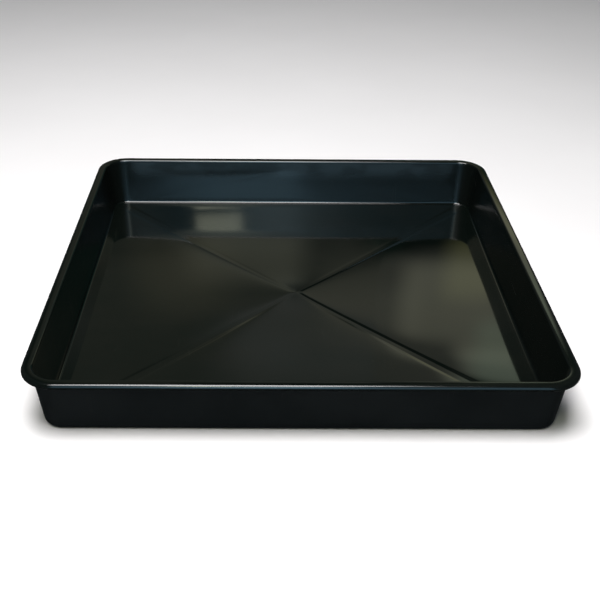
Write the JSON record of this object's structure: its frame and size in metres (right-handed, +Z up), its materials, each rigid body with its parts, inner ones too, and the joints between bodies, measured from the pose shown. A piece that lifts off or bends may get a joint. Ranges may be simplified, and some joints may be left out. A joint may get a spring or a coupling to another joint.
{
  "type": "oil drain pan",
  "caption": "Square, shallow plastic tray with a turned-down rim and an X pressed into its floor, stood under a vehicle to catch draining oil.",
  "frame": {"origin": "centre of the tray, on the surface it stands on", "axes": "+Z up out of the open mouth; +X and +Y across two neighbouring walls"},
  "size_m": [1, 1, 0.12],
  "materials": {
    "black_plastic": "glossy moulded surface with light scuffs"
  },
  "bodies": {
    "root": {"drain_pan": "black_plastic"}
  },
  "joints": []
}
